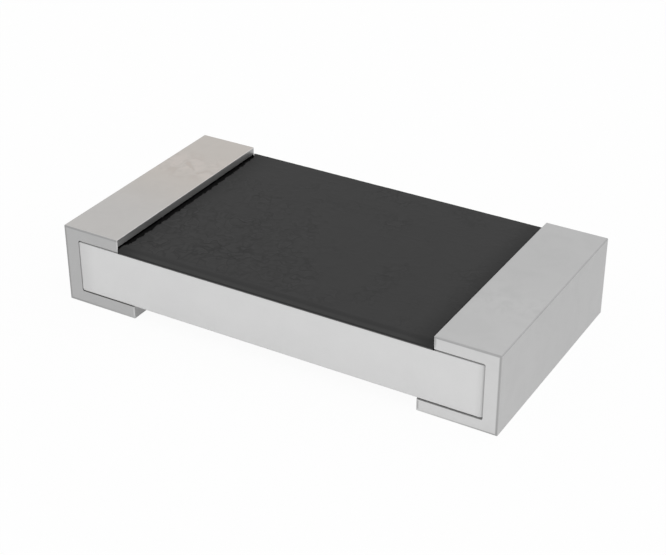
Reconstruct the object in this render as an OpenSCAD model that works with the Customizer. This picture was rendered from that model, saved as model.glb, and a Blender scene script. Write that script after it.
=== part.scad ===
// Thick film chip resistor, surface mount, metric case 3216.
// Millimetres. +X runs along the chip, +Y across it, +Z up from the solder pads.
// The origin is the middle of the footprint, in the plane of the solder pads.

/* [Ceramic substrate] */
// Length of the alumina plate
substrate_l = 2.90; // [2.4:0.01:3.4]
// Width of the alumina plate, which is the width of the chip
substrate_w = 1.60; // [1.5:0.01:2.0]
// Thickness of the alumina plate
substrate_t = 0.362; // [0.3:0.002:0.6]
// Rounding of the plate's edges
substrate_edge_r = 0.012; // [0.005:0.001:0.03]

/* [Terminations] */
// Length of each termination on the top face, from the end of the chip
top_leg_l = 0.425; // [0.35:0.005:0.6]
// Length of each termination on the bottom face, from the end of the chip
bottom_leg_l = 0.525; // [0.35:0.005:0.8]
// Thickness of the tin plating
tin_t = 0.048; // [0.03:0.001:0.06]
// Thickness of the nickel barrier under the tin
nickel_t = 0.025; // [0.01:0.001:0.035]
// Rounding of the tin plating's outer edges
tin_edge_r = 0.008; // [0.004:0.001:0.02]

/* [Electrodes] */
// Thickness of the printed electrodes on the top face
top_electrode_t = 0.025; // [0.01:0.001:0.03]
// Thickness of the printed electrodes on the bottom face
bottom_electrode_t = 0.017; // [0.008:0.001:0.03]
// Thickness of the electrodes on the end faces
end_electrode_t = 0.027; // [0.01:0.001:0.04]

/* [Resistor] */
// Thickness of the resistor film
film_t = 0.010; // [0.006:0.001:0.015]
// Length of film that lies on each top electrode
film_overlap = 0.10; // [0.05:0.01:0.2]
// Width of the laser trim cut
kerf_w = 0.04; // [0.02:0.005:0.06]
// Distance from the middle of the film to the trim cut's first leg
kerf_x = 0.25; // [0.1:0.01:0.35]
// Reach of the trim cut's first leg into the film, from its front edge
kerf_plunge = 0.50; // [0.2:0.01:0.7]
// Length of the trim cut's second leg, along the film
kerf_run = 0.40; // [0.2:0.01:0.6]

/* [Glass coat] */
// Depth of glass over the highest part of the film
glass_t = 0.008; // [0.005:0.001:0.015]
// Reach of the glass past the film at each end
glass_end_margin = 0.03; // [0.02:0.005:0.08]
// Reach of the glass past the film at each side
glass_side_margin = 0.06; // [0.03:0.005:0.12]

/* [Overcoat] */
// Depth of overcoat above the glass
overcoat_t = 0.010; // [0.006:0.001:0.02]
// Reach of the overcoat past the glass at each end
overcoat_end_margin = 0.04; // [0.02:0.005:0.1]
// Reach of the overcoat past the glass at each side
overcoat_side_margin = 0.14; // [0.08:0.005:0.2]
// Rounding of the overcoat's long upper edges
overcoat_edge_r = 0.010; // [0.004:0.001:0.015]
// Width of the thin rim, a groove between the full coat and the termination
rim_w = 0.048; // [0.02:0.001:0.08]
// Depth of overcoat over the top electrode in the thin rim
rim_cover_t = 0.008; // [0.004:0.001:0.012]

/* [Hidden] */

RIGHT = 1;
LEFT = -1;

// Metal over each face of the substrate
top_wall = top_electrode_t + nickel_t + tin_t;
bottom_wall = bottom_electrode_t + nickel_t + tin_t;
end_wall = end_electrode_t + nickel_t + tin_t;

// The substrate's faces, and the whole chip around them
substrate_end = substrate_l / 2;
substrate_bottom = bottom_wall;
substrate_top = substrate_bottom + substrate_t;
chip_end = substrate_end + end_wall;
chip_h = substrate_top + top_wall;

// Inner ends of the tin on the top and bottom faces
tin_top_in = chip_end - top_leg_l;
tin_bottom_in = chip_end - bottom_leg_l;

// The tin closes over the nickel, and the nickel over the electrodes, at both sides and inner ends
nickel_w = substrate_w - 2 * tin_t;
electrode_w = nickel_w - 2 * nickel_t;
nickel_top_in = tin_top_in + tin_t;
nickel_bottom_in = tin_bottom_in + tin_t;
bottom_electrode_in = nickel_bottom_in + nickel_t;

// The overcoat spans the terminations, glass lies within it, and film within the glass, on the electrodes
overcoat_end = tin_top_in - rim_w;
glass_end = overcoat_end - overcoat_end_margin;
film_end = glass_end - glass_end_margin;
top_electrode_in = film_end - film_overlap;
glass_w = substrate_w - 2 * overcoat_side_margin;
film_w = glass_w - 2 * glass_side_margin;

// Heights of the layers above the substrate
film_top = top_electrode_t + film_t;
glass_top = film_top + glass_t;
overcoat_top = glass_top + overcoat_t;
rim_top = top_electrode_t + rim_cover_t;

// Steps in each quarter turn of a rounded edge
arc_steps = 4;

// Points of a round corner about centre c, a quarter turn from angle a0
function corner(c, r, a0) = [
    for (i = [0:arc_steps])
        let (a = a0 + 90 * i / arc_steps)
        c + r * [cos(a), sin(a)]
];

// Outline of a rectangle with round corners: x from x0 to x1, y from y0 to y1
function round_rect(x0, x1, y0, y1, r) = concat(
    corner([x1 - r, y0 + r], r, 270),
    corner([x1 - r, y1 - r], r, 0),
    corner([x0 + r, y1 - r], r, 90),
    corner([x0 + r, y0 + r], r, 180)
);

// Inner side of the C that wraps an end of the substrate, with legs that reach in to two x values
function wrap_inner(x_top_in, x_bottom_in) = [
    [x_top_in, substrate_top],
    [substrate_end, substrate_top],
    [substrate_end, substrate_bottom],
    [x_bottom_in, substrate_bottom],
];

// Extrudes an outline drawn in X and Z across the chip
module across(w) {
    rotate([90, 0, 0]) linear_extrude(height = w, center = true) children();
}

// Extrudes an outline drawn in Y and Z along the chip
module along(l) {
    rotate([90, 0, 90]) linear_extrude(height = l, center = true) children();
}

// Draws a right-hand piece on the named side of the chip
module on_side(side) {
    mirror([side == LEFT ? 1 : 0, 0, 0]) children();
}

// A box that is centred on the chip's length line, from x0 to x1 and z0 to z1
module bar(x0, x1, w, z0, z1) {
    translate([x0, -w / 2, z0]) cube([x1 - x0, w, z1 - z0]);
}

// A box with every edge rounded, from -end to end in X and z0 to z1
module round_block(end, w, z0, z1, r) {
    intersection() {
        across(w) polygon(round_rect(-end, end, z0, z1, r));
        along(2 * end) polygon(round_rect(-w / 2, w / 2, z0, z1, r));
        translate([0, 0, z0]) linear_extrude(height = z1 - z0)
            polygon(round_rect(-end, end, -w / 2, w / 2, r));
    }
}

// All that lies inside the nickel: the three electrodes as one piece, so that no skin is left where they meet
module electrode_envelope() {
    outer_x = substrate_end + end_electrode_t;
    outer_z = substrate_top + top_electrode_t;
    low_z = substrate_bottom - bottom_electrode_t;
    across(electrode_w) polygon(concat(
        [[bottom_electrode_in, low_z], [outer_x, low_z], [outer_x, outer_z], [top_electrode_in, outer_z]],
        wrap_inner(top_electrode_in, bottom_electrode_in)
    ));
}

// All that lies inside the tin: the nickel and the electrodes under it
module nickel_envelope() {
    outer_x = chip_end - tin_t;
    outer_z = chip_h - tin_t;
    across(nickel_w) polygon(concat(
        [[nickel_bottom_in, tin_t], [outer_x, tin_t], [outer_x, outer_z], [nickel_top_in, outer_z]],
        wrap_inner(nickel_top_in, nickel_bottom_in)
    ));
}

// All that lies inside the tin's outer faces, with the outer edges rounded
module tin_envelope() {
    r = tin_edge_r;
    intersection() {
        across(substrate_w) polygon(concat(
            corner([tin_bottom_in + r, r], r, 180),
            corner([chip_end - r, r], r, 270),
            corner([chip_end - r, chip_h - r], r, 0),
            corner([tin_top_in + r, chip_h - r], r, 90),
            wrap_inner(tin_top_in, tin_bottom_in)
        ));
        round_block(chip_end, substrate_w, 0, chip_h, r);
    }
}

// The film's outline steps up onto each top electrode
module film_envelope() {
    step = top_electrode_in - film_t;
    half = [
        [top_electrode_in, 0],
        [top_electrode_in, top_electrode_t],
        [film_end, top_electrode_t],
        [film_end, film_top],
        [step, film_top],
        [step, film_t],
    ];
    mirrored = [for (i = [len(half) - 1:-1:0]) [-half[i].x, half[i].y]];
    translate([0, 0, substrate_top]) across(film_w) polygon(concat(half, mirrored));
}

module glass_envelope() {
    bar(-glass_end, glass_end, glass_w, substrate_top, substrate_top + glass_top);
}

// The L-shaped laser cut that sets the resistance: in from the front edge, then along the film
module trim_cut() {
    front = -glass_w / 2;
    turn = -film_w / 2 + kerf_plunge;
    height = 2 * glass_top;
    translate([kerf_x - kerf_w / 2, front - kerf_w, substrate_top - glass_top / 2])
        cube([kerf_w, turn - front + kerf_w, height]);
    translate([kerf_x - kerf_w / 2 - kerf_run, turn - kerf_w, substrate_top - glass_top / 2])
        cube([kerf_run + kerf_w, kerf_w, height]);
}

module ceramic_substrate() {
    color("whitesmoke")
        round_block(substrate_end, substrate_w, substrate_bottom, substrate_top, substrate_edge_r);
}

module bottom_electrode(side) {
    color("silver") on_side(side)
        bar(bottom_electrode_in, substrate_end, electrode_w,
            substrate_bottom - bottom_electrode_t, substrate_bottom);
}

module top_electrode(side) {
    color("silver") on_side(side)
        bar(top_electrode_in, substrate_end, electrode_w, substrate_top, substrate_top + top_electrode_t);
}

module end_electrode(side) {
    color("dimgray") on_side(side)
        bar(substrate_end, substrate_end + end_electrode_t, electrode_w,
            substrate_bottom - bottom_electrode_t, substrate_top + top_electrode_t);
}

module nickel_barrier(side) {
    color("darkgray") on_side(side) difference() {
        nickel_envelope();
        electrode_envelope();
    }
}

module tin_plating(side) {
    color("lightgray") difference() {
        on_side(side) tin_envelope();
        on_side(side) nickel_envelope();
        top_electrode(side);
    }
}

module resistor_film() {
    color("darkslategray") difference() {
        film_envelope();
        trim_cut();
    }
}

module glass_coat() {
    color("seagreen") difference() {
        glass_envelope();
        film_envelope();
        top_electrode(LEFT);
        top_electrode(RIGHT);
        trim_cut();
    }
}

// The overcoat fills the trim cut, and thins to a rim beside each termination
module overcoat() {
    half_w = substrate_w / 2;
    r = overcoat_edge_r;
    color([0.26, 0.26, 0.26]) difference() {
        union() {
            translate([0, 0, substrate_top]) along(2 * overcoat_end) polygon(concat(
                corner([half_w - r, overcoat_top - r], r, 0),
                corner([r - half_w, overcoat_top - r], r, 90),
                [[-half_w, 0], [half_w, 0]]
            ));
            bar(-tin_top_in, tin_top_in, substrate_w, substrate_top, substrate_top + rim_top);
        }
        difference() {
            union() {
                glass_envelope();
                film_envelope();
            }
            trim_cut();
        }
        top_electrode(LEFT);
        top_electrode(RIGHT);
    }
}

ceramic_substrate();
bottom_electrode(LEFT);  // bottom_electrode_left
bottom_electrode(RIGHT);  // bottom_electrode_right
top_electrode(LEFT);  // top_electrode_left
top_electrode(RIGHT);  // top_electrode_right
resistor_film();
glass_coat();
overcoat();
end_electrode(LEFT);  // end_electrode_left
end_electrode(RIGHT);  // end_electrode_right
nickel_barrier(LEFT);  // nickel_barrier_left
nickel_barrier(RIGHT);  // nickel_barrier_right
tin_plating(LEFT);  // tin_plating_left
tin_plating(RIGHT);  // tin_plating_right
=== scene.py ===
"""Looks of a surface-mount chip resistor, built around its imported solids.

The ceramic plate, the black overcoat and the tin terminations are rebuilt here with finer edges and surfaces. The
layers inside them keep their solids, and each gets its own finish. Lengths are in millimetres until a mesh is made.
"""

import logging
import math
from collections.abc import Iterable
from dataclasses import KW_ONLY, dataclass
from enum import Enum
from functools import cached_property
from typing import Any

import bmesh
import bpy
import numpy as np
from mathutils import Matrix, Vector, noise


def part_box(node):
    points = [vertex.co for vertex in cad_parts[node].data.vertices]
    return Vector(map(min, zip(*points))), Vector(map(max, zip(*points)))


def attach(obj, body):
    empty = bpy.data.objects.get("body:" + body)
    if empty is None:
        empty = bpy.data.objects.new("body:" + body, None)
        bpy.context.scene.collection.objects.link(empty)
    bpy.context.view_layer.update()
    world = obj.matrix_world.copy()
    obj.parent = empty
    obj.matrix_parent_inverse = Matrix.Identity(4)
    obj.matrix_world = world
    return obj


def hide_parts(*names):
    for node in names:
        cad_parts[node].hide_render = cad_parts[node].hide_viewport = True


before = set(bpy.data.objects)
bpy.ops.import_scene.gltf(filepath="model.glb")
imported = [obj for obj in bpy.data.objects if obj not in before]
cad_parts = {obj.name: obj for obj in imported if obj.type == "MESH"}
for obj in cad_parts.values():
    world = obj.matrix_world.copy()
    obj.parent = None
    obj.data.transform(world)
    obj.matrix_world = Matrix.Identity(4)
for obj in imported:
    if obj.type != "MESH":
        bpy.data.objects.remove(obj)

log = logging.getLogger("chip_resistor")

MM = 0.001
MICRON = 0.000001
BODY = "root"
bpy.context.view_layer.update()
# How close to a place, in millimetres, a point of a mesh counts as lying there
NEAR = 0.0001

Socket = bpy.types.NodeSocket
Inputs = dict[str | int, Any]
Look = tuple[Socket, Socket, Socket | float]
Span = tuple[float, float]
Point = tuple[float, float]


class Side(Enum):
    """The two ends of the chip, with the sign of X that each lies on."""

    LEFT = -1
    RIGHT = 1

    @property
    def word(self) -> str:
        """The side's name as the solids' names have it."""
        return self.name.lower()


def linear(hex_colour: str) -> tuple[float, float, float, float]:
    """Turns an sRGB hex colour into linear light.

    Args:
        hex_colour: Six hex digits after a hash, such as "#d2d2d0".

    Returns:
        Linear red, green, blue, and an alpha of 1.
    """
    parts = [int(hex_colour[i : i + 2], 16) / 255 for i in (1, 3, 5)]
    red, green, blue = (c / 12.92 if c <= 0.04045 else ((c + 0.055) / 1.055) ** 2.4 for c in parts)
    return red, green, blue, 1.0


def between(span: Span, unit: float = 1.0) -> Inputs:
    """Gives the two values that a ramp runs between, as its node names them."""
    return {"From Min": span[0] * unit, "From Max": span[1] * unit}


@dataclass(frozen=True)
class Canvas:
    """A node tree that a finish, the floor or the sky is drawn in."""

    tree: bpy.types.NodeTree

    @cached_property
    def place(self) -> Socket:
        """The point on the part or the floor, in metres."""
        return self.add("TexCoord", output="Object")

    def pattern(self, feature_mm: float) -> Inputs:
        """Gives the place and the scale for a pattern whose features have this size in millimetres."""
        return {"Vector": self.place, "Scale": 1 / (feature_mm * MM)}

    def feed(self, node: bpy.types.Node, inputs: Inputs) -> None:
        """Sets a node's own properties, which decide what inputs it has, and then its inputs.

        Args:
            node: The node.
            inputs: Sockets or values by input name or number, and values by property name.
        """
        own = [name for name in inputs if hasattr(node, str(name))]
        for name in own:
            setattr(node, name, inputs[name])
        for name, value in inputs.items():
            if isinstance(value, Socket):
                self.tree.links.new(value, node.inputs[name])
            elif name not in own:
                node.inputs[name].default_value = value

    def add(self, kind: str, inputs: Inputs | None = None, output: str | int = 0) -> Socket:
        """Adds one node.

        Args:
            kind: Blender's name for the node, without the ShaderNode in front.
            inputs: Sockets or values by input name or number, and values by property name.
            output: The name or number of the output that is wanted.

        Returns:
            That output.
        """
        node = self.tree.nodes.new(f"ShaderNode{kind}")
        self.feed(node, inputs or {})
        return node.outputs[output]

    def lay(self, colour: Socket | str, layers: Iterable[tuple[Socket, Socket | str]]) -> Socket:
        """Lays tones over a colour, one after the other.

        Args:
            colour: The colour under them, as a socket or in hex.
            layers: How much of each layer shows, and its tone.

        Returns:
            The colour with all of them on it.
        """
        for share, tone in layers:
            under, over = (linear(c) if isinstance(c, str) else c for c in (colour, tone))
            colour = self.add("Mix", {"data_type": "RGBA", 0: share, 6: under, 7: over}, 2)
        return colour

    def ramps(self, spans: Iterable[tuple[str, Span]]) -> list[Socket]:
        """Adds soft ramps from 0 to 1 along the part's axes.

        Args:
            spans: The axis of each ramp, and where on it the ramp starts and ends, in millimetres.

        Returns:
            The ramps.
        """
        made = []
        for axis, span in spans:
            along = self.add("SeparateXYZ", {0: self.place}, axis)
            ramp = {"Value": along, "interpolation_type": "SMOOTHSTEP"}
            made.append(self.add("MapRange", ramp | between(span, MM)))
        return made

    def band(self, field: Socket, level: float, reach: float, share: Socket) -> Socket:
        """Adds a soft band along the places where a field has one level.

        Args:
            field: The field.
            level: The level in the middle of the band.
            reach: How far from that level the band fades out.
            share: How much of the band shows.

        Returns:
            The band's strength, from 0 to 1.
        """
        offset = self.add("Math", {"operation": "SUBTRACT", 0: field, 1: level})
        distance = self.add("Math", {"operation": "ABSOLUTE", 0: offset})
        fade = {"From Max": reach, "To Min": 1.0, "To Max": 0.0, "interpolation_type": "SMOOTHSTEP"}
        band = self.add("MapRange", {"Value": distance} | fade)
        return self.add("Math", {"operation": "MULTIPLY", "use_clamp": True, 0: band, 1: share})


@dataclass(frozen=True)
class ChipSizes:
    """Sizes of the chip in millimetres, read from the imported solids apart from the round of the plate's edges."""

    chip_end: float
    chip_h: float
    half_w: float
    plate_end: float
    plate_bottom: float
    plate_top: float
    tin_top_in: float
    tin_bottom_in: float
    coat_top: float
    plate_edge_r: float = 0.012

    @classmethod
    def from_frame(cls) -> "ChipSizes":
        """Reads the boxes of the solids that meet at the chip's faces.

        Returns:
            The sizes that the rebuilt pieces share.
        """
        tin_low, tin_high = (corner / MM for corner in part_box("tin_plating_right"))
        plate_low, plate_high = (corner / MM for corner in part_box("ceramic_substrate"))
        coat_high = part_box("overcoat")[1] / MM
        return cls(
            chip_end=tin_high.x,
            chip_h=tin_high.z,
            half_w=tin_high.y,
            plate_end=plate_high.x,
            plate_bottom=plate_low.z,
            plate_top=plate_high.z,
            tin_top_in=coat_high.x,
            tin_bottom_in=tin_low.x,
            coat_top=coat_high.z,
        )


@dataclass(frozen=True)
class Finish:
    """A surface finish that builds its material once and hands it to every piece that wears it."""

    name: str
    _: KW_ONLY
    roughness: float = 0.5
    metallic: float = 0.0
    ior: float = 1.5
    gloss: float = 0.5
    relief_micron: float = 0.3

    def shade(self, canvas: Canvas) -> Look:
        """Draws the finish and gives its colour, its relief's height as a share of the depth, and its roughness."""
        raise NotImplementedError

    def material(self) -> bpy.types.Material:
        """Builds the material, or finds it if another piece has it already.

        Returns:
            The finished material.
        """
        found = bpy.data.materials.get(self.name)
        if found is not None:
            return found
        made = bpy.data.materials.new(self.name)
        made.use_nodes = True
        canvas = Canvas(made.node_tree)
        colour, height, roughness = self.shade(canvas)
        inputs = {
            "Base Color": colour,
            "Metallic": self.metallic,
            "Roughness": roughness,
            "IOR": self.ior,
            "Specular IOR Level": self.gloss,
            "Normal": canvas.add("Bump", {"Height": height, "Distance": self.relief_micron * MICRON}),
        }
        canvas.feed(canvas.tree.nodes["Principled BSDF"], inputs)
        return made


@dataclass(frozen=True)
class MatteTin(Finish):
    """Tin, electroplated matte: a soft grey metal whose fine crystals blur reflections, with painted shade on top."""

    roughness: float = 0.44
    metallic: float = 1.0
    # The wall and top tones are painted shade, darker on top and to the back; the palest tone is a painted highlight,
    # the seam tone painted shade in the seams and on the inner wall, and the darkest a painted shadow where the groove
    # meets the plating
    bright: str = "#d0d0d0"
    bright_far: str = "#cdcdcd"
    dulled: str = "#bababa"
    tarnished: str = "#b7b7b7"
    smudged: str = "#bcbcbc"
    worn: str = "#b3b3b3"
    veil: str = "#fcfcfc"
    rubbed: str = "#828282"
    burnished: str = "#f0f0f0"
    seam: str = "#6c6c6b"
    creep: str = "#1a1a1a"
    # Clouds veil the metal, and make it a little smoother or rougher
    cloud_mm: float = 0.16
    veil_levels: Span = (0.45, 0.75)
    gloss_levels: Span = (0.3, 0.7)
    gloss_swing: Span = (-0.01, 0.02)
    # Painted shade deepens across the chip towards the back, and a thumbed patch of pale and worn streaks lies on the
    # top
    tarnish_mm: Span = (-0.5, 0.2)
    smudge_y_mm: float = 0.40
    smudge_reach_mm: float = 0.26
    streak_mm: float = 0.09
    pale_levels: Span = (0.46, 0.64)
    worn_levels: Span = (0.48, 0.36)
    # The crystals are about 0.003 mm across, which is under half a pixel, so they are drawn four times as coarse
    crystal_mm: float = 0.012
    relief_micron: float = 0.15

    def shade(self, canvas: Canvas) -> Look:
        """Draws the faces' painted shade, cloudy colour and gloss, edge lines, painted highlights and shadows, and a
        grain.

        Args:
            canvas: The material's nodes.

        Returns:
            The colour, the height of the relief as a share of its depth, and the roughness.
        """
        clouds = {"Detail": 3.0, "Roughness": 0.55, "Distortion": 0.6}
        cloud = canvas.add("TexNoise", canvas.pattern(self.cloud_mm) | clouds)
        haze = canvas.add("MapRange", {"Value": cloud} | between(self.veil_levels))
        veil = {"data_type": "RGBA", "blend_type": "MULTIPLY", 7: linear(self.veil)}
        colour = canvas.add("Mix", {0: haze, 6: self.face_tones(canvas)} | veil, 2)
        marks = (("rub", self.rubbed), ("burnish", self.burnished), ("seam", self.seam), ("creep", self.creep))
        layers = [(canvas.add("Attribute", {"attribute_name": mark}, "Fac"), tone) for mark, tone in marks]
        least, most = (self.roughness + swing for swing in self.gloss_swing)
        gloss = {"Value": cloud, "To Min": least, "To Max": most}
        roughness = canvas.add("MapRange", gloss | between(self.gloss_levels))
        crystal = canvas.add("TexNoise", canvas.pattern(self.crystal_mm) | {"Detail": 2.0})
        return canvas.lay(colour, layers), crystal, roughness

    def face_tones(self, canvas: Canvas) -> Socket:
        """Draws walls and top in painted shade, darker on top and to the back, with pale and worn streaks on top.

        Args:
            canvas: The material's nodes.

        Returns:
            The colour.
        """
        upward = canvas.add("SeparateXYZ", {0: canvas.add("TexCoord", output="Normal")}, "Z")
        across = canvas.add("SeparateXYZ", {0: canvas.place}, "Y")
        # Painted shade: walls and top darken towards the back, and the top is darker than the walls
        (depth,) = canvas.ramps([("Y", self.tarnish_mm)])
        walls = canvas.lay(self.bright, [(depth, self.bright_far)])
        top = canvas.lay(self.dulled, [(depth, self.tarnished)])
        colour = canvas.lay(walls, [(upward, top)])
        patch = canvas.band(across, self.smudge_y_mm * MM, self.smudge_reach_mm * MM, upward)
        streak = canvas.add("TexNoise", canvas.pattern(self.streak_mm) | {"Detail": 2.0, "Distortion": 1.0})
        for levels, tone in ((self.pale_levels, self.smudged), (self.worn_levels, self.worn)):
            lines = canvas.add("MapRange", {"Value": streak} | between(levels))
            share = canvas.add("Math", {"operation": "MULTIPLY", 0: patch, 1: lines})
            colour = canvas.lay(colour, [(share, tone)])
        return colour


@dataclass(frozen=True)
class FiredAlumina(Finish):
    """Alumina, tape cast and fired: a dense white ceramic with a fine matte grain; shade is painted beside the plating.
    """

    name: str = "alumina_fired"
    roughness: float = 0.55
    ior: float = 1.76
    body: str = "#d9d9d9"
    milky: str = "#d7d7d7"
    stained: str = "#7c7c7b"
    blotch_mm: float = 0.22
    milky_levels: Span = (0.35, 0.65)
    # Painted shade darkens the plate's ends a little, towards the plating
    bath_left_mm: Span = (-1.33, -1.45)
    bath_right_mm: Span = (1.40, 1.455)
    bath_share: float = 0.2
    # The grains are about 0.004 mm across, drawn three times as coarse so that they show
    grain_mm: float = 0.012
    relief_micron: float = 0.4

    def shade(self, canvas: Canvas) -> Look:
        """Draws milky blotches, painted shade beside the plating and a grain.

        Args:
            canvas: The material's nodes.

        Returns:
            The colour, the height of the relief as a share of its depth, and the roughness.
        """
        blotch = canvas.add("TexNoise", canvas.pattern(self.blotch_mm) | {"Detail": 2.0})
        milk = canvas.add("MapRange", {"Value": blotch} | between(self.milky_levels))
        # Painted shade on the rolled edges and towards the plating at each end
        stain = canvas.add("Attribute", {"attribute_name": "stain"}, "Fac")
        along = canvas.add("SeparateXYZ", {0: canvas.place}, "X")
        for span in (self.bath_left_mm, self.bath_right_mm):
            end_shade = canvas.add("MapRange", {"Value": along, "To Max": self.bath_share} | between(span, MM))
            stain = canvas.add("Math", {"operation": "MAXIMUM", 0: stain, 1: end_shade})
        grain = canvas.add("TexNoise", canvas.pattern(self.grain_mm) | {"Detail": 3.0})
        return canvas.lay(self.body, [(milk, self.milky), (stain, self.stained)]), grain, self.roughness


@dataclass(frozen=True)
class BlackEpoxy(Finish):
    """Epoxy, screen printed and oven cured: a black satin skin that shrank into gathers of hair-thin curls."""

    name: str = "black_epoxy_cured"
    roughness: float = 0.72
    gloss: float = 0.15
    # The edge and foot tones are painted shade and the bead tone a painted highlight; the crease and ridge tones paint
    # shade and highlight on the creases, and tint the mottle too
    body: str = "#363636"
    bloom: str = "#393939"
    crease: str = "#2d2d2d"
    ridge: str = "#3c3c3c"
    edge: str = "#2e2e2e"
    bead: str = "#3f3f3f"
    foot: str = "#2a2a2a"
    thin: str = "#707070"
    bloom_mm: float = 0.25
    # Creases, and ridges beside them, follow the level lines of two noise fields, painted with shade and highlight
    curl_mm: float = 0.075
    curl_seeds: tuple[float, float] = (2.0, 7.0)
    crease_level: float = 0.50
    ridge_level: float = 0.545
    line_reach: float = 0.06
    relief_micron: float = 1.0
    # Between them lies a mottle of pale and dark spots
    mottle_mm: float = 0.045
    pale_levels: Span = (0.5, 0.75)
    pale_share: float = 0.7
    dark_levels: Span = (0.5, 0.25)
    dark_share: float = 0.5
    # Both gather in patches, the closer to one place the more
    gather_mm: float = 0.30
    gather_x_mm: float = -0.95
    gather_y_mm: float = -0.62
    gather_reach_mm: float = 1.35
    gather_lean: float = 0.5
    gather_levels: Span = (0.45, 1.0)
    # The skin has painted shade towards the plating and at its foot, a painted highlight on the bead along its front
    # edge, is grey where it is thin enough to show the ceramic, and free of creases near the front
    left_mm: Span = (-0.88, -1.16)
    right_mm: Span = (0.92, 1.13)
    level_mm: Span = (-0.7985, -0.785)
    foot_mm: Span = (0.472, 0.466)
    thin_mm: Span = (0.461, 0.452)
    smooth_mm: Span = (-0.785, -0.72)

    def shade(self, canvas: Canvas) -> Look:
        """Draws a faint bloom, painted shade and highlight at the edges, a mottle, and creases painted in shade and
        highlight.

        Args:
            canvas: The material's nodes.

        Returns:
            The colour, the height of the relief as a share of its depth, and the roughness.
        """
        bloom = canvas.add("TexNoise", canvas.pattern(self.bloom_mm) | {"Detail": 3.0})
        left, right = canvas.ramps((("X", self.left_mm), ("X", self.right_mm)))
        level, smooth = canvas.ramps((("Y", self.level_mm), ("Y", self.smooth_mm)))
        foot, thin = canvas.ramps((("Z", self.foot_mm), ("Z", self.thin_mm)))
        skin = canvas.lay(self.body, [(bloom, self.bloom)])
        gather = canvas.add("Math", {"operation": "MULTIPLY", 0: self.gather(canvas), 1: smooth})
        curls = canvas.pattern(self.curl_mm) | {"noise_dimensions": "4D", "Detail": 0.6, "Distortion": 0.35}
        curl, second = (canvas.add("TexNoise", curls | {"W": seed}) for seed in self.curl_seeds)
        crease, crossing, ridge = (
            canvas.band(field, line, self.line_reach, gather)
            for field, line in ((curl, self.crease_level), (second, self.crease_level), (curl, self.ridge_level))
        )
        mottle = canvas.add("TexNoise", canvas.pattern(self.mottle_mm) | {"Detail": 1.0})
        spots = []
        for levels, most, tone in (
            (self.pale_levels, self.pale_share, self.ridge),
            (self.dark_levels, self.dark_share, self.crease),
        ):
            spot = canvas.add("MapRange", {"Value": mottle, "To Max": most} | between(levels))
            spots.append((canvas.add("Math", {"operation": "MULTIPLY", 0: spot, 1: gather}), tone))
        # Painted shade at the sides and foot, a painted highlight on the bead, and creases painted in shade and
        # highlight
        edges = [(left, self.edge), (right, self.edge)]
        lines = [(ridge, self.ridge), (crossing, self.crease), (crease, self.crease)]
        feet = [(foot, self.foot), (thin, self.thin)]
        height = canvas.add("Math", {"operation": "SUBTRACT", 0: ridge, 1: crease})
        return canvas.lay(self.bead, [(level, skin)] + edges + spots + lines + feet), height, self.roughness

    def gather(self, canvas: Canvas) -> Socket:
        """Draws the patches that the creases gather in, which lie closest at the front left.

        Args:
            canvas: The material's nodes.

        Returns:
            The share of the creases that shows.
        """
        patch = canvas.add("TexNoise", canvas.pattern(self.gather_mm) | {"Detail": 2.0})
        centre = (self.gather_x_mm * MM, self.gather_y_mm * MM, 0.0)
        away = canvas.add("VectorMath", {"operation": "DISTANCE", 0: canvas.place, 1: centre}, "Value")
        fall = {"From Max": self.gather_reach_mm * MM, "To Min": self.gather_lean, "To Max": 0.0}
        lean = canvas.add("MapRange", {"Value": away} | fall)
        total = canvas.add("Math", {"operation": "ADD", 0: patch, 1: lean})
        return canvas.add("MapRange", {"Value": total} | between(self.gather_levels))


@dataclass(frozen=True)
class InnerLayer(Finish):
    """A layer inside the chip: its body colour, mottled by a second one at the size of its fired or plated grains."""

    body: str
    mottle: str
    grain_mm: float

    def shade(self, canvas: Canvas) -> Look:
        """Draws a mottle, which is both in the colour and in the relief."""
        grain = canvas.add("TexNoise", canvas.pattern(self.grain_mm) | {"Detail": 3.0})
        return canvas.lay(self.body, [(grain, self.mottle)]), grain, self.roughness


# Silver-palladium paste, printed and fired: a dull, slightly warm metal with sintered grains
SILVER_PASTE = InnerLayer("silver_palladium_fired", "#d6d2ca", "#c2bcb2", 0.010, roughness=0.5, metallic=1.0)
# Nickel-chromium, sputtered: a thin, even, darker grey metal
END_METAL = InnerLayer("nickel_chromium_sputtered", "#a9a6a2", "#9a9793", 0.014, roughness=0.4, metallic=1.0)
# Nickel, electroplated: a satin metal with a faint yellow cast
NICKEL = InnerLayer("nickel_electroplated", "#cdc6ba", "#bfb7aa", 0.010, roughness=0.35, metallic=1.0)
# Ruthenium oxide in glass, printed and fired: a near-black film with a satin glaze
RESISTOR_PASTE = InnerLayer("ruthenium_oxide_fired", "#26272a", "#33353a", 0.020, roughness=0.4)
# Borosilicate glaze, printed and fired: a glossy green-grey skin
GLAZE = InnerLayer("borosilicate_glaze_fired", "#4d6257", "#5a7063", 0.040, roughness=0.15)


def stand(name: str, data: bpy.types.ID) -> bpy.types.Object:
    """Makes an object and stands it in the scene.

    Args:
        name: The object's name.
        data: Its mesh, light or camera.

    Returns:
        The object.
    """
    made = bpy.data.objects.new(name, data)
    bpy.context.scene.collection.objects.link(made)
    return made


def quarter_turn(start: float, steps: int) -> list[Point]:
    """Gives the cosine and the sine at each step of a quarter turn that starts at an angle in degrees."""
    angles = [math.radians(start + 90 * step / steps) for step in range(steps + 1)]
    return [(math.cos(angle), math.sin(angle)) for angle in angles]


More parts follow.
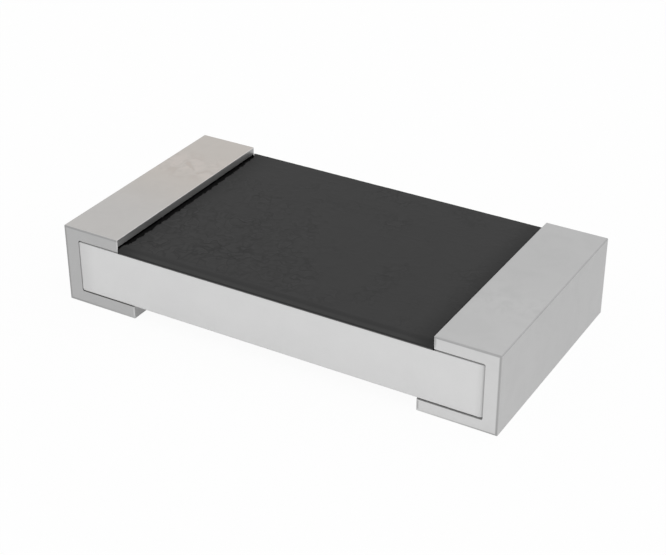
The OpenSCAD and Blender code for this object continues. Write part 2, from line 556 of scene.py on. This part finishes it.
def join(mesh: bmesh.types.BMesh, rows: list[list[bmesh.types.BMVert]], closed: bool) -> None:
    """Joins each row of points to the next by faces.

    Args:
        mesh: The mesh that the points are in.
        rows: Rows of as many points each.
        closed: Whether the end of each row joins up with its start.
    """
    for a, b in zip(rows, rows[1:]):
        for i in range(len(a) if closed else len(a) - 1):
            j = (i + 1) % len(a)
            mesh.faces.new((a[i], a[j], b[j], b[i]))


def sweep(stations: Iterable[tuple[float, list[Point]]]) -> bmesh.types.BMesh:
    """Sweeps an outline that changes on its way across the chip.

    Args:
        stations: Each station's Y, and the X and Z of each point of the outline there.

    Returns:
        The mesh, closed at both ends.
    """
    mesh = bmesh.new()
    rings = [[mesh.verts.new((x, y, z)) for x, z in outline] for y, outline in stations]
    join(mesh, rings, closed=True)
    mesh.faces.new(rings[0])
    mesh.faces.new(rings[-1])
    return mesh


def read_vectors(items: bpy.types.bpy_prop_collection, name: str) -> np.ndarray:
    """Reads the named vector of each corner or face of a mesh, as three rows for X, Y and Z."""
    return np.array([getattr(item, name) for item in items]).T


class Piece:
    """A piece of the dressed part: it is made as a mesh in millimetres and stands for one solid."""

    node: str
    slot: str
    finish: Finish

    def build(self) -> bpy.types.Object:
        """Makes the piece, dresses it and gives its object."""
        raise NotImplementedError

    def place(
        self, mesh: bmesh.types.BMesh, cutters: tuple[str, ...] = (), sharp_deg: float = 40.0
    ) -> bpy.types.Object:
        """Turns a mesh into the object that stands for the piece's solid.

        Args:
            mesh: The closed mesh, in millimetres. It is freed.
            cutters: Solids that the piece fits around, which are cut out of it.
            sharp_deg: Edges that turn by more than this stay sharp.

        Returns:
            The object, in metres, riding on the part.
        """
        bmesh.ops.recalc_face_normals(mesh, faces=mesh.faces)
        mesh.transform(Matrix.Scale(MM, 4))
        data = bpy.data.meshes.new(f"{self.node}_dressed")
        mesh.to_mesh(data)
        mesh.free()
        piece = stand(data.name, data)
        for name in cutters:
            cut = piece.modifiers.new(name, "BOOLEAN")
            cut.operation = "DIFFERENCE"
            cut.solver = "MANIFOLD"
            cut.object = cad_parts[name]
        if cutters:
            whole = bpy.data.meshes.new_from_object(piece.evaluated_get(bpy.context.evaluated_depsgraph_get()))
            piece.modifiers.clear()
            piece.data = whole
            bpy.data.meshes.remove(data)
            whole.name = piece.name
        piece.data.materials.clear()
        piece.data.materials.append(self.finish.material())
        piece.data.shade_smooth()
        piece.data.set_sharp_from_angle(angle=math.radians(sharp_deg))
        piece.modifiers.new("even_shading", "WEIGHTED_NORMAL").keep_sharp = True
        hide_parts(self.node)
        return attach(piece, BODY)

    def mark(self, piece: bpy.types.Object, domain: str, **marks: np.ndarray) -> None:
        """Writes named marks that the finish reads, from 0 to 1, for each POINT or each FACE of the piece."""
        for name, values in marks.items():
            piece.data.attributes.new(name, "FLOAT", domain).data.foreach_set("value", values.astype(np.float32))


@dataclass(frozen=True)
class Seam:
    """The gap between the plating and one edge of the ceramic: how wide it opens, how much painted shade darkens it and
    how deep it is.

    A width below zero is plating that reaches in over the rolled edge of the ceramic.
    """

    width: float
    shade: float
    depth: float = 0.020


@dataclass
class Termination(Piece):
    """A tin termination: a C that wraps one end of the ceramic, with soft outer edges and a seam around the ceramic."""

    sizes: ChipSizes
    side: Side
    finish: Finish
    top: Seam
    end: Seam
    bottom: Seam
    roll_w: float = 0.016
    roll_depth: float = 0.007
    inner_w: float = 0.018
    inner_depth: float = 0.003
    edge_r: float = 0.004
    edge_in: float = 0.009
    edge_drop: float = 0.007
    # Darker lines along the edges, each with a middle and reach that are shares of the edge's roll
    side_rub: float = 0.66
    end_rub: float = 0.73
    inner_rub: float = 0.5
    line_mid: float = 0.45
    line_reach: float = 0.55
    line_from: float = 0.01
    # A painted highlight on the inner corners at the front, and how it fades along the inner walls
    inner_burnish: float = 0.0
    burnish_top: float = 0.0
    burnish_bottom: float = 0.0
    burnish_depths: tuple[float, ...] = (0.0, 0.0005, 0.006, 0.020, 0.35)
    burnish_shares: tuple[float, ...] = (0.0, 0.15, 0.15, 1.0, 0.0)
    burnish_margin: float = 0.022
    # Painted shade on the inner wall above the coat, and the height up to which a painted shadow of the groove darkens
    # it
    wall_shade: float = 0.0
    wall_slack: float = 0.001
    creep_z: float = 0.500
    # A face whose normal points across the chip by more than this is no slope of the seam
    flat: float = 0.95
    arc_steps: int = 6
    weld: float = 0.00001
    slot: str = "tin"

    @property
    def node(self) -> str:
        """The solid that this termination stands for."""
        return f"tin_plating_{self.side.word}"

    @property
    def seams(self) -> tuple[Seam, Seam, Seam]:
        """The seams above the ceramic, at its end and below it."""
        return self.top, self.end, self.bottom

    def outline(self, depth: float) -> list[Point]:
        """Draws the C at a distance behind the chip's front or back face.

        Args:
            depth: The distance, over which the face rolls off to its edges and the seam around the ceramic closes.

        Returns:
            X and Z of each point of the outline, around its corners in order.
        """
        s, r = self.sizes, self.edge_r
        inset, inner = (
            width * (1 - math.sqrt(1 - max(1 - depth / reach, 0) ** 2))
            for width, reach in ((self.roll_w, self.roll_depth), (self.inner_w, self.inner_depth))
        )
        top, end, bottom = (seam.width * max(1 - depth / seam.depth, 0) for seam in self.seams)
        points = []
        for x, z, out_x, out_z, start, rx, rz, inset_x in (
            (s.tin_bottom_in, 0.0, -1, -1, 180, r, r, inner),
            (s.chip_end, 0.0, 1, -1, 270, r, r, inset),
            (s.chip_end, s.chip_h, 1, 1, 0, self.edge_in, self.edge_drop, inset),
            (s.tin_top_in, s.chip_h, -1, 1, 90, r, r, inner),
        ):
            x, z = x - out_x * max(rx, inset_x), z - out_z * max(rz, inset)
            rx, rz = max(rx - inset_x, 0), max(rz - inset, 0)
            points += [(x + rx * cos, z + rz * sin) for cos, sin in quarter_turn(start, self.arc_steps)]
        high, low, r = s.plate_top + top, s.plate_bottom - bottom, s.plate_edge_r
        points += [(s.tin_top_in + inner, z) for z in (s.chip_h - self.burnish_margin, self.creep_z, high)]
        for z, start in ((high - r, 0), (low + r, -90)):
            turn = reversed(quarter_turn(start, self.arc_steps))
            points += [(s.plate_end + end - r + r * cos, z + r * sin) for cos, sin in turn]
        margins = (s.plate_bottom - self.burnish_margin, self.burnish_margin)
        return points + [(s.tin_bottom_in + inner, z) for z in (low, *margins)]

    def build(self) -> bpy.types.Object:
        """Sweeps the C across the chip and cuts out the layers that it wraps.

        Returns:
            The termination.
        """
        depths = {seam.depth for seam in self.seams} | {max(self.burnish_depths)}
        for cos, _ in quarter_turn(0, self.arc_steps):
            depths |= {reach * (1 - cos) for reach in (self.roll_depth, self.inner_depth)}
        half, out, order = self.sizes.half_w, self.side.value, sorted(depths)
        stations = [(depth - half, depth) for depth in order] + [(half - depth, depth) for depth in reversed(order)]
        mesh = sweep((y, [(out * x, z) for x, z in self.outline(depth)]) for y, depth in stations)
        bmesh.ops.remove_doubles(mesh, verts=mesh.verts, dist=self.weld)
        layers = ("nickel_barrier", "top_electrode", "end_electrode", "bottom_electrode")
        piece = self.place(mesh, tuple(f"{layer}_{self.side.word}" for layer in layers))
        self.mark_worn_edges(piece)
        self.mark_seams(piece)
        return piece

    def mark_worn_edges(self, piece: bpy.types.Object) -> None:
        """Marks darker lines along the outer edges, and a painted highlight on the inner corners at the front.

        Args:
            piece: The termination's object.
        """
        s = self.sizes
        corners = read_vectors(piece.data.vertices, "co") / MM
        x, y, z = np.abs(corners)
        depth, margin = s.half_w - y, self.burnish_margin - NEAR
        top = (x < s.tin_top_in + self.inner_w + NEAR) & (z > self.creep_z - NEAR) & (z < s.chip_h - margin)
        bottom = (x < s.tin_bottom_in + self.inner_w + NEAR) & (z > margin) & (z < s.plate_bottom - margin)
        rolled, sunk = (np.clip(1 - depth / reach, 0, 1) for reach in (self.roll_depth, self.inner_depth))
        across, inward = (1 - np.sqrt(1 - slack**2) for slack in (rolled, sunk))
        drop = np.clip((s.chip_h - z) / self.edge_drop, 0, 1)
        outer = np.minimum(s.chip_end - x, s.chip_h - z) < self.roll_w * across + NEAR
        end = s.chip_end - x < self.edge_in
        side_line, end_line, inner_line = (
            here * np.clip(1 - ((share - self.line_mid) / self.line_reach) ** 2, 0, 1)
            for share, here in (
                (across, outer & (rolled > self.line_from)),
                (drop, end & (drop > self.line_from)),
                (inward, (top | bottom) & (sunk > self.line_from)),
            )
        )
        # Darker lines along the outer and inner edges
        rub = np.maximum(self.side_rub * side_line, self.end_rub * end_line)
        rub = np.maximum(rub, self.inner_rub * inner_line)
        fade = np.interp(depth, self.burnish_depths, self.burnish_shares)
        walls = fade * (self.burnish_top * top + self.burnish_bottom * bottom)
        # A painted highlight on the inner walls and corners at the front
        burnish = (corners[1] < 0) * np.maximum(walls, self.inner_burnish * inner_line)
        self.mark(piece, "POINT", rub=rub, burnish=burnish)

    def mark_seams(self, piece: bpy.types.Object) -> None:
        """Marks painted shade on the seam's slopes and the inner wall, and a painted shadow at the plating's foot in
        the groove.

        Args:
            piece: The termination's object.
        """
        s = self.sizes
        x, y, z = np.abs(read_vectors(piece.data.polygons, "center")) / MM
        slope = np.abs(read_vectors(piece.data.polygons, "normal")[1])
        inside = (x < s.plate_end + self.end.width) & (z > s.plate_bottom - self.bottom.width)
        inside &= (z < s.plate_top + self.top.width) & (slope < self.flat)
        inside &= y > s.half_w - max(seam.depth for seam in self.seams)
        shades = np.select((z > s.plate_top, z < s.plate_bottom), (self.top.shade, self.bottom.shade), self.end.shade)
        wall = (x < s.tin_top_in + self.wall_slack) & (z > s.plate_top) & (z < s.chip_h - self.edge_r)
        creep = wall & (z < self.creep_z)
        # Painted shade in the seam and on the inner wall, and a painted shadow at the foot in the groove
        seam = np.select((creep, wall), (0.0, self.wall_shade), inside * shades)
        self.mark(piece, "FACE", seam=seam, creep=creep)


@dataclass
class Substrate(Piece):
    """The ceramic plate, snapped from a scored sheet: round corners, and faces that roll off at their edges."""

    sizes: ChipSizes
    finish: Finish
    roll_left: float = 0.028
    roll_right: float = 0.030
    roll_bottom_left: float = 0.016
    roll_bottom_right: float = 0.011
    roll_top: float = 0.002
    roll_depth: float = 0.012
    corner_r: float = 0.018
    stain_left: float = 0.36
    stain_right: float = 0.42
    stain_bottom_left: float = 0.55
    stain_bottom_right: float = 0.35
    stain_rise: float = 2.5
    arc_steps: int = 6
    node: str = "ceramic_substrate"
    slot: str = "alumina"

    def outline(self, share: float) -> list[Point]:
        """Draws the plate's long section.

        Args:
            share: How much of each edge's roll to take off, from 0 to 1.

        Returns:
            X and Z of each point of the outline, which also has one at each end of each termination's legs.
        """
        s = self.sizes
        left, right = share * self.roll_left - s.plate_end, s.plate_end - share * self.roll_right
        low_left, low_right = (
            s.plate_bottom + share * roll for roll in (self.roll_bottom_left, self.roll_bottom_right)
        )
        top = s.plate_top - share * self.roll_top
        r = s.plate_edge_r + share * (self.corner_r - s.plate_edge_r)
        points = [(-s.tin_bottom_in, low_left), (s.tin_bottom_in, low_right)]
        for x, z, start in (
            (right - r, low_right + r, 270),
            (right - r, top - r, 0),
            (left + r, top - r, 90),
            (left + r, low_left + r, 180),
        ):
            points += [(x + r * cos, z + r * sin) for cos, sin in quarter_turn(start, self.arc_steps)]
            if start == 0:
                points += [(s.tin_top_in, top), (-s.tin_top_in, top)]
        return points

    def build(self) -> bpy.types.Object:
        """Sweeps the section across the chip, with the edges of its front and back rolled off.

        Returns:
            The plate.
        """
        half, turn = self.sizes.half_w, quarter_turn(0, self.arc_steps)
        stations = [(self.roll_depth * (1 - cos) - half, 1 - sin) for cos, sin in turn]
        stations += [(-y, share) for y, share in reversed(stations)]
        piece = self.place(sweep((y, self.outline(share)) for y, share in stations))
        self.mark_stain(piece)
        return piece

    def mark_stain(self, piece: bpy.types.Object) -> None:
        """Marks painted shade on the rolled edges beside the plating.

        Args:
            piece: The plate's object.
        """
        s = self.sizes
        x, y, z = read_vectors(piece.data.polygons, "center") / MM
        depth = np.clip((s.half_w - np.abs(y)) / self.roll_depth, 0, 1)
        beside = np.where(x < 0, self.stain_left, self.stain_right) * (np.abs(x) > s.tin_top_in)
        under = np.where(x < 0, self.stain_bottom_left, self.stain_bottom_right)
        low = (z < s.plate_bottom + self.roll_bottom_left) & (np.abs(x) > s.tin_bottom_in)
        stain = np.where(low, under, beside) * np.minimum(self.stain_rise * depth, 1) * (depth < 1)
        self.mark(piece, "FACE", stain=stain)


@dataclass
class Overcoat(Piece):
    """The black epoxy on top: a full coat that thins to its front edge, and a ragged groove beside each termination."""

    sizes: ChipSizes
    finish: Finish
    groove_finish: Finish
    back_r: float = 0.002
    lip_r: float = 0.004
    lip_z: float = 0.484
    slope_w: float = 0.040
    uneven: float = 0.5
    uneven_mm: float = 0.16
    uneven_seed: Point = (4.0, 6.0)
    # The groove: its width at distances from the front, which is less on the right, and how it wanders and is bitten
    groove_at: tuple[float, ...] = (0.0, 0.065, 0.20, 1.0, 1.3, 1.53)
    groove_w: tuple[float, ...] = (0.006, 0.044, 0.050, 0.050, 0.046, 0.036, 0.004)
    right_share: float = 0.64
    ragged: float = 0.011
    ragged_share: float = 0.25
    wander: float = 0.7
    wander_mm: float = 0.04
    wander_seed: Point = (7.3, 1.7)
    bite: float = 0.8
    bite_mm: float = 0.014
    bite_seed: Point = (3.1, 8.2)
    bite_level: float = 0.6
    bite_steepness: float = 4.0
    # Its section: shares of its width, and how far below the full coat it lies there, but never below its floor
    floor_z: float = 0.485
    section: tuple[Point, ...] = ((0.0, 1.0), (0.5, 1.0), (0.95, 1.0), (1.0, 0.004), (1.05, 0.001))
    coat_from: float = 1.12
    # The full coat's slow waves, and its wrinkles along the bent lines of a noise field
    wave_mm: float = 0.35
    wave_seed: float = 2.0
    wave_h: float = 0.0008
    bend_mm: float = 0.06
    bend_seed: float = 5.0
    bend: float = 0.02
    wrinkle_mm: float = 0.085
    wrinkle_seed: float = 9.0
    wrinkle_level: float = 0.12
    wrinkle_h: float = 0.0006
    columns: int = 170
    rows: int = 400
    back_steps: int = 6
    lip_steps: int = 5
    slope_steps: int = 12
    node: str = "overcoat"
    slot: str = "epoxy"

    def groove(self, y: float, side: Side) -> float:
        """Gives the width of the groove beside a termination.

        Args:
            y: The place across the chip.
            side: Which termination.

        Returns:
            The width, which narrows towards the chip's corners and wanders with the printed edge.
        """
        half = self.sizes.half_w
        share = 1.0 if side is Side.LEFT else self.right_share
        width = share * float(np.interp(y, [at - half for at in self.groove_at] + [half], self.groove_w))
        wander, depth = (
            noise.noise(Vector((y / size, seed[0] * side.value, seed[1])))
            for size, seed in ((self.wander_mm, self.wander_seed), (self.bite_mm, self.bite_seed))
        )
        bites = max(self.bite_level - self.bite_steepness * abs(depth), -self.bite_level)
        return width + min(self.ragged, self.ragged_share * width) * (self.wander * wander + self.bite * bites)

    def crown(self, x: float, y: float) -> float:
        """Gives the height of the full coat at a point.

        Args:
            x: The place along the chip.
            y: The place across the chip.

        Returns:
            The height, which falls in an uneven slope to a lip at the front and in a tight round at the back.
        """
        s = self.sizes
        slope_w = self.slope_w * (1 + self.uneven * noise.noise(Vector((x / self.uneven_mm, *self.uneven_seed))))
        over = max(y - (s.half_w - self.back_r), 0.0)
        back = s.coat_top - self.back_r + math.sqrt(max(self.back_r**2 - over**2, 0.0))
        t = min((y + s.half_w) / slope_w, 1.0)
        front = self.lip_z + (s.coat_top - self.lip_z) * (1 - (1 - t) ** 2)
        edge = max(self.lip_r - (y + s.half_w), 0.0)
        return min(back, front - self.lip_r + math.sqrt(max(self.lip_r**2 - edge**2, 0.0)))

    def surface(self, x: float, y: float) -> float:
        """Gives the coat's unevenness at a point: slow waves, and wrinkles along the lines of a noise field.

        Args:
            x: The place along the chip.
            y: The place across the chip.

        Returns:
            The height to add, which is never above the coat's own top.
        """
        wave = noise.noise(Vector((x / self.wave_mm, y / self.wave_mm, self.wave_seed)))
        bend = self.bend * noise.noise(Vector((x / self.bend_mm, y / self.bend_mm, self.bend_seed)))
        size = self.wrinkle_mm
        field = noise.noise(Vector(((x + bend) / size, (y - bend) / size, self.wrinkle_seed)))
        wrinkle = math.exp(-((field / self.wrinkle_level) ** 2))
        return self.wave_h * (wave - 1) - self.wrinkle_h * (1 - wrinkle)

    def groove_steps(self, x: float, y: float) -> list[Point]:
        """Gives the section of the groove beside a point of the full coat, as shares of its width and heights."""
        top = self.crown(x, y)
        return [(share, max(top - drop, min(self.floor_z, top))) for share, drop in self.section]

    def build(self) -> bpy.types.Object:
        """Lays out the coat as a grid that follows the ragged edges, and closes it down to the ceramic.

        Returns:
            The overcoat.
        """
        s = self.sizes
        reach = self.slope_w * (1 + self.uneven)
        back = [s.half_w - self.back_r + self.back_r * cos for cos, _ in quarter_turn(0, self.back_steps)[:-1]]
        middle = np.linspace(s.half_w - self.back_r, reach - s.half_w, self.rows).tolist()
        lip = [self.lip_r * (1 - cos) - s.half_w for cos, _ in quarter_turn(0, self.lip_steps)[:-1]]
        slope = [
            self.lip_r - s.half_w + (reach - self.lip_r) * k / self.slope_steps for k in range(self.slope_steps)
        ]
        mesh = bmesh.new()
        grid = []
        for y in back + middle + list(reversed(lip + slope)):
            left, right = self.groove(y, Side.LEFT), self.groove(y, Side.RIGHT)
            ends = (self.coat_from * left - s.tin_top_in, s.tin_top_in - self.coat_from * right)
            span = np.linspace(*ends, self.columns).tolist()
            row = [(left * share - s.tin_top_in, z) for share, z in self.groove_steps(span[0], y)]
            row += [(x, self.crown(x, y) + self.surface(x, y)) for x in span]
            row += [(s.tin_top_in - right * share, z) for share, z in reversed(self.groove_steps(span[-1], y))]
            grid.append([mesh.verts.new((x, y, z)) for x, z in row])
        join(mesh, grid, closed=False)
        loop = grid[0] + [row[-1] for row in grid[1:-1]] + grid[-1][::-1] + [row[0] for row in grid[-2:0:-1]]
        foot = [mesh.verts.new((v.co.x, v.co.y, s.plate_top)) for v in loop]
        join(mesh, [loop, foot], closed=True)
        mesh.faces.new(foot)
        layers = ("top_electrode_left", "top_electrode_right", "resistor_film", "glass_coat")
        piece = self.place(mesh, layers, sharp_deg=50.0)
        self.dress_groove(piece)
        return piece

    def dress_groove(self, piece: bpy.types.Object) -> None:
        """Gives the groove's floor and ragged wall their own near-black finish, which paints the groove's shade.

        Args:
            piece: The overcoat's object.
        """
        piece.data.materials.append(self.groove_finish.material())
        for face in piece.data.polygons:
            x, y, _ = face.center / MM
            width = self.groove(y, Side.LEFT if x < 0 else Side.RIGHT)
            face.material_index = int(self.sizes.tin_top_in - abs(x) < width)


@dataclass(frozen=True)
class InnerLayers:
    """The layers under the coat and the tin, which keep their solids."""

    def dress(self) -> int:
        """Gives each hidden solid its finish.

        Returns:
            How many solids were dressed.
        """
        finishes: dict[str, Finish] = {"resistor_film": RESISTOR_PASTE, "glass_coat": GLAZE}
        for side in Side:
            finishes[f"top_electrode_{side.word}"] = SILVER_PASTE
            finishes[f"bottom_electrode_{side.word}"] = SILVER_PASTE
            finishes[f"end_electrode_{side.word}"] = END_METAL
            finishes[f"nickel_barrier_{side.word}"] = NICKEL
        for name, finish in finishes.items():
            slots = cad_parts[name].data.materials
            slots.clear()
            slots.append(finish.material())
        return len(finishes)


def direction(azimuth: float, elevation: float) -> Vector:
    """Gives the direction from the chip to a viewpoint. An azimuth of 0 stands in front of it, at -Y, and 90 at +X."""
    a, e = math.radians(azimuth), math.radians(elevation)
    return Vector((math.sin(a) * math.cos(e), -math.cos(a) * math.cos(e), math.sin(e)))


@dataclass(frozen=True)
class Lamp:
    """A soft square lamp: where it stands around the chip, and how bright it makes a white face that looks at it."""

    name: str
    azimuth: float
    elevation: float
    level: float
    distance_mm: float = 300.0
    size_mm: float = 450.0

    def build(self) -> None:
        """Makes the lamp and aims it at the chip."""
        back = direction(self.azimuth, self.elevation)
        reach = self.distance_mm * MM
        data = bpy.data.lights.new(self.name, "AREA")
        data.size = self.size_mm * MM
        data.energy = self.level * (math.pi * reach) ** 2
        lamp = stand(self.name, data)
        lamp.location = back * reach
        lamp.rotation_euler = (-back).to_track_quat("-Z", "Y").to_euler()


@dataclass(frozen=True)
class Studio:
    """The white floor, the soft light and the camera."""

    floor_mm: float = 160.0
    floor_segments: int = 8
    floor_colour: str = "#fafafa"
    floor_glow_seen: float = 0.94
    floor_glow_mirrored: float = 0.85
    # How white the tin mirrors the floor, which paints a shadow under the chip and a pool of light at its front right
    shade_x_mm: float = 1.53
    shade_y_mm: float = 0.78
    shade_level: float = 0.60
    pool_x_mm: Span = (-0.9, 0.5)
    pool_y_mm: Span = (-0.74, -0.84)
    pool_dim: float = 0.73
    sky_level: float = 0.74
    sky_colour: str = "#ffffff"
    # The camera, from a fit to the corners of the chip in the photograph
    view_azimuth: float = 30.27
    view_elevation: float = 30.0
    view_distance_mm: float = 10.136
    view_right_mm: float = -0.0070
    view_up_mm: float = 0.1805
    clip_mm: Span = (0.5, 1000.0)
    focal_px: float = 1541.4
    image_w_px: float = 666.0
    sensor_mm: float = 36.0
    lamps: tuple[Lamp, ...] = (
        Lamp("key_lamp", 125.0, 35.0, 0.34),
        Lamp("front_lamp", 0.0, 20.0, 0.26),
    )

    def build(self) -> None:
        """Makes the floor, the sky, the lamps and the camera."""
        self.build_floor()
        self.build_sky()
        for lamp in self.lamps:
            lamp.build()
        self.build_camera()
        bpy.context.scene.view_settings.view_transform = "Standard"

    def build_floor(self) -> None:
        """Lays a floor that reads as white, shows the chip's shadow and can be seen through from below."""
        mesh = bmesh.new()
        steps = self.floor_segments
        bmesh.ops.create_grid(mesh, x_segments=steps, y_segments=steps, size=self.floor_mm / 2 * MM)
        data = bpy.data.meshes.new("floor")
        mesh.to_mesh(data)
        mesh.free()
        material = bpy.data.materials.new("white_studio_floor")
        material.use_nodes = True
        canvas = Canvas(material.node_tree)
        canvas.tree.nodes.clear()
        camera, glossy, through = (
            canvas.add("LightPath", output=f"Is {ray} Ray") for ray in ("Camera", "Glossy", "Transmission")
        )
        seen = canvas.add("Math", {"operation": "MULTIPLY", 0: camera, 1: self.floor_glow_seen})
        mirrored = canvas.add("Math", {"operation": "MAXIMUM", 0: glossy, 1: through})
        share = canvas.add("Math", {"operation": "MULTIPLY_ADD", 0: mirrored, 1: self.floor_glow_mirrored, 2: seen})
        strength = canvas.add("Mix", {0: mirrored, 2: 1.0, 3: self.mirrored_level(canvas)})
        glow = canvas.add("Emission", {"Strength": strength})
        matt = canvas.add("BsdfDiffuse", {"Color": linear(self.floor_colour)})
        lit = canvas.add("MixShader", {0: share, 1: matt, 2: glow})
        under = canvas.add("NewGeometry", output="Backfacing")
        whole = canvas.add("MixShader", {0: under, 1: lit, 2: canvas.add("BsdfTransparent")})
        canvas.feed(canvas.tree.nodes.new("ShaderNodeOutputMaterial"), {"Surface": whole})
        data.materials.append(material)
        floor = stand("floor", data)

    def mirrored_level(self, canvas: Canvas) -> Socket:
        """Gives how white the tin sees the floor, as painted light: full at the front right, less all round, painted
        shadow under the chip.

        Args:
            canvas: The floor's nodes.

        Returns:
            The floor's level, where 1 is white.
        """
        # A painted pool of light at the front right, and a painted shadow under the chip
        right, front = canvas.ramps((("X", self.pool_x_mm), ("Y", self.pool_y_mm)))
        pool = canvas.add("Math", {"operation": "MULTIPLY", 0: right, 1: front})
        level = canvas.add("MapRange", {"Value": pool, "To Min": self.pool_dim})
        beside = canvas.add("VectorMath", {"operation": "ABSOLUTE", 0: canvas.place})
        past = []
        for axis, reach in (("X", self.shade_x_mm), ("Y", self.shade_y_mm)):
            along = canvas.add("SeparateXYZ", {0: beside}, axis)
            past.append(canvas.add("Math", {"operation": "GREATER_THAN", 0: along, 1: reach * MM}))
        clear = canvas.add("Math", {"operation": "MAXIMUM", 0: past[0], 1: past[1]})
        shade = canvas.add("MapRange", {"Value": clear, "To Min": self.shade_level})
        return canvas.add("Math", {"operation": "MULTIPLY", 0: level, 1: shade})

    def build_sky(self) -> None:
        """Makes a plain bright surround, which the camera and the metal see as white."""
        world = bpy.data.worlds.new("studio")
        world.use_nodes = True
        canvas = Canvas(world.node_tree)
        canvas.tree.nodes.clear()
        seen = canvas.add("LightPath", output="Is Camera Ray")
        for ray in ("Is Glossy Ray", "Is Transmission Ray"):
            seen = canvas.add("Math", {"operation": "MAXIMUM", 0: seen, 1: canvas.add("LightPath", output=ray)})
        level = canvas.add("MapRange", {"Value": seen, "To Min": self.sky_level, "To Max": 1.0})
        sky = canvas.add("Background", {"Color": linear(self.sky_colour), "Strength": level})
        canvas.feed(canvas.tree.nodes.new("ShaderNodeOutputWorld"), {"Surface": sky})
        bpy.context.scene.world = world

    def build_camera(self) -> None:
        """Stands the camera where the photograph was taken from."""
        back = direction(self.view_azimuth, self.view_elevation)
        right = Vector((0, 0, 1)).cross(back).normalized()
        up = back.cross(right)
        target = (right * self.view_right_mm + up * self.view_up_mm) * MM
        data = bpy.data.cameras.new("camera")
        data.sensor_width = self.sensor_mm
        data.lens = self.sensor_mm * self.focal_px / self.image_w_px
        data.clip_start, data.clip_end = (clip * MM for clip in self.clip_mm)
        camera = stand("camera", data)
        camera.location = target + back * self.view_distance_mm * MM
        camera.rotation_euler = (-back).to_track_quat("-Z", "Y").to_euler()
        bpy.context.scene.camera = camera


def main() -> None:
    """Builds and dresses the part, then the studio."""
    logging.basicConfig(level=logging.INFO, format="%(name)s: %(message)s")
    sizes = ChipSizes.from_frame()
    # A near-black copy of the epoxy, which paints the shade in the grooves
    painted_groove_shade = BlackEpoxy(
        "black_epoxy_bled",
        body="#101010",
        bloom="#161616",
        crease="#0c0c0c",
        ridge="#161616",
        edge="#101010",
        bead="#161616",
        foot="#0c0c0c",
        thin="#0c0c0c",
        roughness=0.95,
        gloss=0.05,
    )
    # The left termination's copy of the tin, with painted shade on its walls and a warm painted reflection on its top
    tarnished = MatteTin(
        "matte_tin_tarnished",
        bright="#c6c6c6",
        bright_far="#c6c6c6",
        dulled="#bbb9b7",
        tarnished="#bdb8b3",
        smudged="#c4bdb8",
        worn="#b9b1ab",
        rubbed="#9c9c9c",
        smudge_y_mm=0.32,
    )
    plated = MatteTin("matte_tin_electroplated", smudged="#bbbbbb", worn="#b6b6b6", smudge_y_mm=-0.25)
    made: list[Piece] = [
        Substrate(sizes, FiredAlumina()),
        Overcoat(sizes, BlackEpoxy(), painted_groove_shade),
        Termination(
            sizes,
            Side.LEFT,
            tarnished,
            top=Seam(0.011, 0.0),
            end=Seam(-0.008, 0.1, depth=0.004),
            bottom=Seam(0.002, 0.4),
            roll_w=0.018,
            roll_depth=0.003,
            inner_w=0.012,
            inner_depth=0.006,
            inner_rub=0.0,
            inner_burnish=0.4,
            burnish_top=1.0,
            burnish_bottom=0.25,
            wall_shade=0.15,
        ),
        Termination(
            sizes,
            Side.RIGHT,
            plated,
            top=Seam(0.012, 0.4),
            end=Seam(0.003, 0.05),
            bottom=Seam(0.009, 0.35),
        ),
    ]
    for piece in made:
        shown = piece.build()
        log.info("%s: %d faces", shown.name, len(shown.data.polygons))
    log.info("inner layers dressed: %d", InnerLayers().dress())
    Studio().build()


if __name__ == "__main__":
    main()
